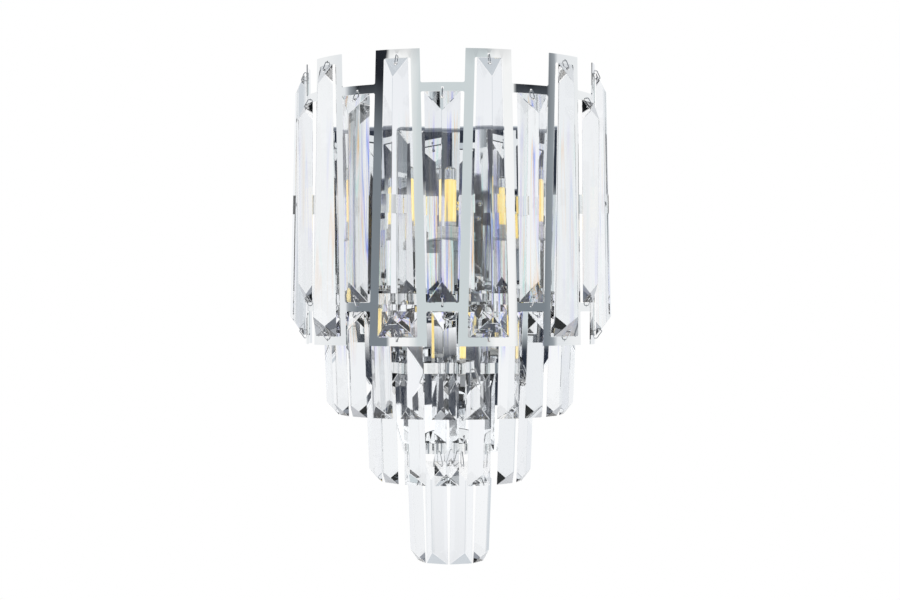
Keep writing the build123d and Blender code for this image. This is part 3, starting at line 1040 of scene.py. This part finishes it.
@dataclass
class Links:
    """The round-wire links of the band and of the three half rings."""

    shop: Workshop
    band: Band = Band()
    wire: float = 1.0
    gap: float = 0.3
    back_gap: float = 1.5
    bar_end_gap: float = 0.5
    hole_rise: float = 3.2
    hole_play: float = 0.4
    eye_drop: float = 5.5
    eye_play: float = 0.4
    eye_radius: float = 1.5

    def build(self) -> None:
        """Builds every link."""
        for edge in Edge:
            self._add(f"band_{edge.name.lower()}_links", self._band_loops(edge))
        for ring in HALF_RINGS:
            self._add(f"{ring.tier.value}_ring_links", self._ring_loops(ring))

    def _loop(
        self, angle: float, radius: float, sheet: float, slope: float, eye: float, hole: float
    ) -> WireLoop:
        """One link, whose outer side follows the bevel from the eye to the ribbon.

        Args:
            angle: the bar's angle.
            radius: outer radius of the ribbon.
            sheet: the ribbon's thickness.
            slope: the bar's ridge over its bevel's length.
            eye: height of the wire in the bar's eye.
            hole: height of the wire in the ribbon's hole.

        Returns:
            The link.
        """
        inner = radius - sheet - self.gap - self.wire / 2
        thickest = slope * (self.eye_drop + self.eye_radius)
        at_eye = radius + self.back_gap + thickest + self.gap + self.wire / 2
        at_hole = radius + self.back_gap + self.wire / 2
        corners = [(inner, hole), (inner, eye), (at_eye, eye), (at_hole, hole)]
        return WireLoop(angle, corners)

    def _band_loops(self, edge: Edge) -> list[Mesh]:
        """The links along one edge of the band: at the tall frames, and between them at the crossbars.

        Args:
            edge: the edge.

        Returns:
            Points and quads of each link.
        """
        band, way, end = self.band, edge.value, 0 if edge is Edge.TOP else 1
        loops = []
        outer_edge = band.top if edge is Edge.TOP else band.top - band.height
        inset = band.upper_bar_drop if edge is Edge.TOP else band.lower_bar_rise
        rows = (
            (spread(band.frame_count, band.pitch), outer_edge, band.long_ridges[end]),
            (spread(band.frame_count - 1, band.pitch), outer_edge - way * inset, band.short_ridges[end]),
        )
        for angles, ribbon_edge, ridge in rows:
            inside = ribbon_edge - way * band.strip
            hole = inside + way * (self.hole_rise - self.hole_play)
            eye = inside - way * (self.bar_end_gap + self.eye_drop - self.eye_play)
            slope = ridge / band.bar_bevel
            loops += [self._loop(a, band.radius, band.sheet, slope, eye, hole).build() for a in angles]
        return loops

    def _ring_loops(self, ring: HalfRing) -> list[Mesh]:
        """The links of one half ring.

        Args:
            ring: the half ring.

        Returns:
            Points and quads of each link.
        """
        foot = ring.top - ring.height
        hole = foot + self.hole_rise - self.hole_play
        eye = foot - ring.hang_gap - self.eye_drop + self.eye_play
        slope = ring.ridge / ring.bevel
        angles = spread(ring.count, ring.pitch)
        return [self._loop(a, ring.radius, ring.sheet, slope, eye, hole).build() for a in angles]

    def _add(self, node: str, loops: list[Mesh]) -> None:
        """Puts the links of one node in its place.

        Args:
            node: the node's name.
            loops: points and quads of each link.
        """
        made = mesh_object(f"{node}_round", *joined(loops), True)
        finish_mesh(made)
        self.shop.stand_in(made, node, BRIGHT_WIRE, "link_wire", ROOT)


@dataclass(frozen=True)
class LampPlace:
    """Where one lamp stands, in millimetres."""

    side: str
    x: float
    seat: float
    reach: float = 45.0


LAMP_PLACES = (
    LampPlace("left", -42.0, -36.0),
    LampPlace("right", 42.0, -36.0),
    LampPlace("lower", 18.0, -178.0),
)


@dataclass
class Screws:
    """Pan-head screws of the half rings, the band's ends and the lamp arms."""

    shop: Workshop
    band: Band = Band()
    arm_sheet: float = 1.5
    arm_rise: float = 14.0
    sharp_limit: float = 40.0

    def build(self) -> None:
        """Builds every screw."""
        sides = (-1, 1)
        tabs = [(side * ring.screw_reach(), ring.screw_height()) for ring in HALF_RINGS for side in sides]
        self._add("ring_screws", [self._on_face(x, z, HALF_RINGS[0].sheet) for x, z in tabs])
        ends = [outward(side * self.band.end_stile_angle()) for side in sides]
        seats = [way * self.band.radius + AXIS / MM for way in ends]
        self._add("band_screws", [PanScrew(seat, way) for seat, way in zip(seats, ends)])
        feet = [(place.x, place.seat - self.arm_rise / 2) for place in LAMP_PLACES]
        self._add("arm_screws", [self._on_face(x, z, self.arm_sheet) for x, z in feet])

    @staticmethod
    def _on_face(x: float, z: float, sheet: float) -> PanScrew:
        """A screw whose head lies on a sheet on the tray's face."""
        return PanScrew(np.array([x, AXIS_Y / MM - sheet, z]), AHEAD)

    def _add(self, node: str, screws: list[PanScrew]) -> None:
        """Puts the screws of one node in its place.

        Args:
            node: the node's name.
            screws: its screws.
        """
        made = mesh_object(f"{node}_pan", *joined([screw.build() for screw in screws]), True)
        finish_mesh(made)
        smooth_by_angle(made, self.sharp_limit)
        self.shop.stand_in(made, node, PlatedSteel(), "plated_steel", ROOT)


@dataclass
class Lamps:
    """Pin-base lamps: a yellow core in a clear capsule, on a pale collar with two pins, in a holder."""

    shop: Workshop
    holder_radius: float = 9.0
    holder_height: float = 12.0
    lamp_length: float = 62.0
    capsule_radius: float = 6.5
    capsule_wall: float = 1.1
    collar_height: float = 5.0
    core_height: float = 44.0
    pin_radius: float = 0.75
    pin_length: float = 7.0
    pin_spacing: float = 9.0
    seam: float = 0.1
    sharp_limit: float = 35.0

    def build(self) -> None:
        """Builds the three lamps with their holders, and dresses their arms."""
        for place in LAMP_PLACES:
            self.shop.dress(f"lamp_arm_{place.side}", PlatedSteel())
            self._holder(place)
            self._lamp(place)

    def _piece(self, name: str, parts: list[Turned]) -> bpy.types.Object:
        """Makes one object of turned bodies.

        Args:
            name: the piece's name.
            parts: the bodies.

        Returns:
            The object.
        """
        made = mesh_object(name, *joined([part.build() for part in parts]), True)
        finish_mesh(made)
        smooth_by_angle(made, self.sharp_limit)
        return made

    def _holder(self, place: LampPlace) -> None:
        """Builds a glazed holder: a turned drum with a waist, a rounded shoulder and a sunk top.

        Args:
            place: where it stands.
        """
        r, h = self.holder_radius, self.holder_height
        profile = [
            (0.0, 0.0),
            (r - 0.4, 0.0),
            (r, 0.4),
            (r, 3.2),
            (r - 0.8, 3.8),
            (r - 0.8, 5.4),
            (r, 6.0),
            (r, h - 1.0),
            (r - 0.3, h - 0.3),
            (r - 1.0, h),
            (self.capsule_radius + 0.7, h),
            (self.capsule_radius + 0.4, h - 0.8),
            (0.0, h - 0.8),
        ]
        y = AXIS_Y / MM - place.reach
        made = self._piece(f"holder_{place.side}_glazed", [Turned(place.x, y, place.seat, profile)])
        self.shop.stand_in(made, f"lamp_holder_{place.side}", GLAZED_BODY, "lamp_holder", ROOT)

    def _lamp(self, place: LampPlace) -> None:
        """Builds a lamp: its collar and pins, its core and its capsule.

        Args:
            place: where it stands.
        """
        y, foot = AXIS_Y / MM - place.reach, place.seat + self.holder_height
        r, top, collar = self.capsule_radius, self.lamp_length, self.collar_height
        base = [(0.0, -0.4), (r - 0.7, -0.4), (r - 0.5, 0.6), (r, 1.0), (r, collar - 0.4)]
        base += [(r - 0.4, collar), (0.0, collar)]
        pin = [(0.0, -self.pin_length), (self.pin_radius * 0.6, -self.pin_length)]
        pin += [(self.pin_radius, -self.pin_length + 0.4), (self.pin_radius, 0.0), (0.0, 0.0)]
        pins = [Turned(place.x + side * self.pin_spacing / 2, y, foot, pin) for side in (-1, 1)]
        collar_piece = self._piece(f"lamp_{place.side}_collar", [Turned(place.x, y, foot, base), *pins])
        self.shop.stand_in(collar_piece, f"lamp_{place.side}", GLAZED_BODY, "lamp", ROOT)

        core_r, core_top = r - self.capsule_wall, collar + self.core_height
        core = [(0.0, collar + self.seam), (core_r, collar + self.seam)]
        core += self._dome(core_r, core_top, 2.0)
        core_piece = self._piece(f"lamp_{place.side}_core", [Turned(place.x, y, foot, core)])
        self.shop.add(core_piece, PhosphorResin(), "lamp", ROOT)

        capsule = [(0.0, collar), (r - self.seam, collar)]
        capsule += self._dome(r - self.seam, top, 4.5)
        capsule_piece = self._piece(f"lamp_{place.side}_capsule", [Turned(place.x, y, foot, capsule)])
        self.shop.add(capsule_piece, CLEAR_CAPSULE, "lamp", ROOT)

    @staticmethod
    def _dome(radius: float, top: float, rise: float, steps: int = 9) -> list[Span]:
        """Profile of a closed top: a quarter of an ellipse, from the wall to the middle.

        Args:
            radius: radius of the wall.
            top: height of the middle.
            rise: height of the ellipse.
            steps: points on it.

        Returns:
            Radii and heights.
        """
        turn = np.linspace(0.0, math.pi / 2, steps)
        return list(zip(radius * np.cos(turn), top - rise + rise * np.sin(turn)))


@dataclass
class Fixings:
    """Wall bracket, studs and terminal block, hidden in the tray."""

    shop: Workshop

    def build(self) -> None:
        """Dresses the fixings."""
        for node in ("wall_bracket", "fixing_studs"):
            self.shop.dress(node, PlatedSteel())
        self.shop.dress("terminal_block", MOULDED_NYLON)


@dataclass
class Studio:
    """White studio with a pale floor, and the camera at the photograph's place."""

    camera_angle: float = 3.0
    camera_distance: float = 1.987
    eye_height: float = -0.1072
    lens: float = 75.36
    frame_width: int = 900
    horizon_drop: float = 6.2
    aim_shift: float = -0.6
    sensor: float = 36.0
    lamp_size: float = 1.1
    lamp_aim: Vector = (0.0, -0.05, -0.1)
    world_turn: float = 4.0
    # Spans of the world, from none to full: rises of a direction, then shares of half a turn.
    low_walls: Span = (0.122, 0.082)
    off_level: Span = (0.128, 0.19)
    steep: Span = (0.3, 0.55)
    ahead: Span = (0.46, 0.41)
    front_half: Span = (0.5, 0.375)
    far_end: Span = (0.94, 0.985)
    below_reach: float = -0.02
    ahead_share: float = 0.85
    steep_share: float = 0.8
    white: Colour = (1.0, 1.0, 1.0, 1.0)
    high_corner: Colour = (0.018, 0.02, 0.026, 1.0)
    low_corner: Colour = (0.22, 0.25, 0.28, 1.0)
    dim_room: Colour = (0.025, 0.032, 0.048, 1.0)
    ceiling: Colour = (0.2, 0.22, 0.26, 1.0)
    far_wall: Colour = (0.62, 0.66, 0.70, 1.0)
    floor_height: float = -0.75
    floor_radius: float = 1.5

    def build(self) -> None:
        """Builds the world, floor, lamps and camera."""
        self._world()
        self._floor()
        self._lamps()
        self._camera()
        bpy.context.scene.view_settings.view_transform = "Standard"

    def _world(self) -> None:
        """White surroundings, with the darker room that polished steel and glass show.

        Camera rays, and all light that a matt surface gathers, see plain white. Other reflected and
        refracted rays see walls by how far they turn from straight ahead, as a share of half a turn.
        The dark corner is darkest high up, and what leaves the glass hardly sees it. In the front half,
        what lies well above or below the eye is dim, and steep above or below there is a grey ceiling
        or floor all round. Metal seen from behind shows a grey far wall.
        """
        world = bpy.data.worlds.new("studio")
        bpy.context.scene.world = world
        world.use_nodes = True
        sheet = Sheet(world.node_tree)
        direction = sheet.node("ShaderNodeTexCoord", {}, {}).outputs["Generated"]
        parts = sheet.node("ShaderNodeSeparateXYZ", {}, {0: direction})
        x, y, z = (Level(sheet, parts.outputs[axis]) for axis in "XYZ")
        turned = (x.heading(0.0 - y) / math.pi - self.world_turn / HALF_TURN).magnitude()
        rays = sheet.node("ShaderNodeLightPath", {}, {})
        glossy, through, scattered = (
            Level(sheet, rays.outputs[name])
            for name in ("Is Glossy Ray", "Is Transmission Ray", "Diffuse Depth")
        )
        walls = sheet.blend(
            z.between(*self.low_walls),
            sheet.ramp(turned, self._wall_stops(self.high_corner)),
            sheet.ramp(turned, self._wall_stops(self.low_corner)),
        )
        ahead = through * turned.between(*self.ahead) * self.ahead_share
        front = turned.between(*self.front_half)
        off_level = z.maximum(self.below_reach - z).between(*self.off_level)
        steep = z.magnitude().between(*self.steep) * self.steep_share
        room = sheet.blend(ahead, walls, self.white)
        room = sheet.blend(front * off_level, room, self.dim_room)
        room = sheet.blend(steep, room, self.ceiling)
        room = sheet.blend(glossy * turned.between(*self.far_end), room, self.far_wall)
        colour = sheet.blend(glossy.maximum(through) - scattered.clamped(), self.white, room)
        back = sheet.node("ShaderNodeBackground", {}, {"Color": colour, "Strength": 1.0})
        sheet.node("ShaderNodeOutputWorld", {}, {"Surface": back.outputs[0]})

    @staticmethod
    def _wall_stops(corner: Colour) -> list[Stop]:
        """Wall colours by the turn from straight ahead, from 0 ahead to 1 behind.

        Grey stands beyond the camera, then come a white window, the dark corner, and ever paler walls up
        to the white one behind the sconce.

        Args:
            corner: colour of the dark corner.

        Returns:
            Ramp stops.
        """
        by_degrees = (
            (0.0, (0.66, 0.715, 0.73, 1.0)),
            (26.0, (0.66, 0.715, 0.73, 1.0)),
            (34.0, (1.0, 1.0, 1.0, 1.0)),
            (49.0, (1.0, 1.0, 1.0, 1.0)),
            (52.0, corner),
            (79.0, corner),
            (87.0, (0.34, 0.37, 0.40, 1.0)),
            (91.5, (0.84, 0.86, 0.885, 1.0)),
            (118.0, (0.93, 0.94, 0.95, 1.0)),
            (148.0, (0.92, 0.93, 0.945, 1.0)),
            (157.0, (0.84, 0.86, 0.895, 1.0)),
            (168.0, (0.97, 0.975, 0.985, 1.0)),
            (180.0, (1.0, 1.0, 1.0, 1.0)),
        )
        return [(degrees / HALF_TURN, colour) for degrees, colour in by_degrees]

    def _floor(self) -> None:
        """A plain pale disc below the sconce: points on rings, at equal steps of radius and turn."""
        rings, sides = 12, 96
        turn = np.linspace(0.0, 2 * math.pi, sides, endpoint=False)
        radius = np.linspace(0.0, self.floor_radius, rings)[:, None]
        points = np.stack(
            [
                radius * np.cos(turn),
                radius * np.sin(turn) + AXIS_Y,
                np.full((rings, sides), self.floor_height),
            ],
            axis=-1,
        )
        floor = mesh_object("floor", points.reshape(-1, 3), grid_faces(rings, sides, False, True), True)
        floor.data.materials.append(material_of(PaleFloor()))

    def _lamps(self) -> None:
        """Two soft lamps in front, above and to the sides."""
        for name, place, power in (
            ("key_lamp", (-1.5, -1.9, 1.3), 16.0),
            ("fill_lamp", (1.7, -1.7, 0.9), 10.0),
        ):
            light = bpy.data.lights.new(name, "AREA")
            light.energy = power
            light.size = self.lamp_size
            made = bpy.data.objects.new(name, light)
            made.location = place
            aim = np.array(self.lamp_aim) - np.array(place)
            turn = math.atan2(aim[0], -aim[1])
            tilt = math.atan2(math.hypot(aim[0], aim[1]), -aim[2])
            made.rotation_euler = (tilt, 0.0, turn + math.pi)
            made.visible_glossy = False
            made.visible_transmission = False
            bpy.context.scene.collection.objects.link(made)

    def _camera(self) -> None:
        """The camera, level, aimed at the drum axis."""
        camera = bpy.data.objects.new("camera", bpy.data.cameras.new("camera"))
        place = outward(self.camera_angle) * self.camera_distance + np.array([0.0, AXIS_Y, self.eye_height])
        camera.location = place
        camera.rotation_euler = (math.pi / 2, 0.0, math.radians(self.camera_angle))
        camera.data.lens = self.lens
        camera.data.sensor_width = self.sensor
        camera.data.shift_x = self.aim_shift / self.frame_width
        camera.data.shift_y = self.horizon_drop / self.frame_width
        camera.data.clip_end = 50.0
        bpy.context.scene.collection.objects.link(camera)
        bpy.context.scene.camera = camera


def main() -> None:
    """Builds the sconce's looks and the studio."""
    logging.basicConfig(level=logging.INFO, format="%(name)s: %(message)s")
    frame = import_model()
    shop = Workshop(frame)
    assemblies = (
        PolishedSheets(shop),
        GlassBars(shop),
        Links(shop),
        Screws(shop),
        Lamps(shop),
        Fixings(shop),
        Studio(),
    )
    for assembly in assemblies:
        assembly.build()
        log.info("finished %s", type(assembly).__name__)


if __name__ == "__main__":
    main()
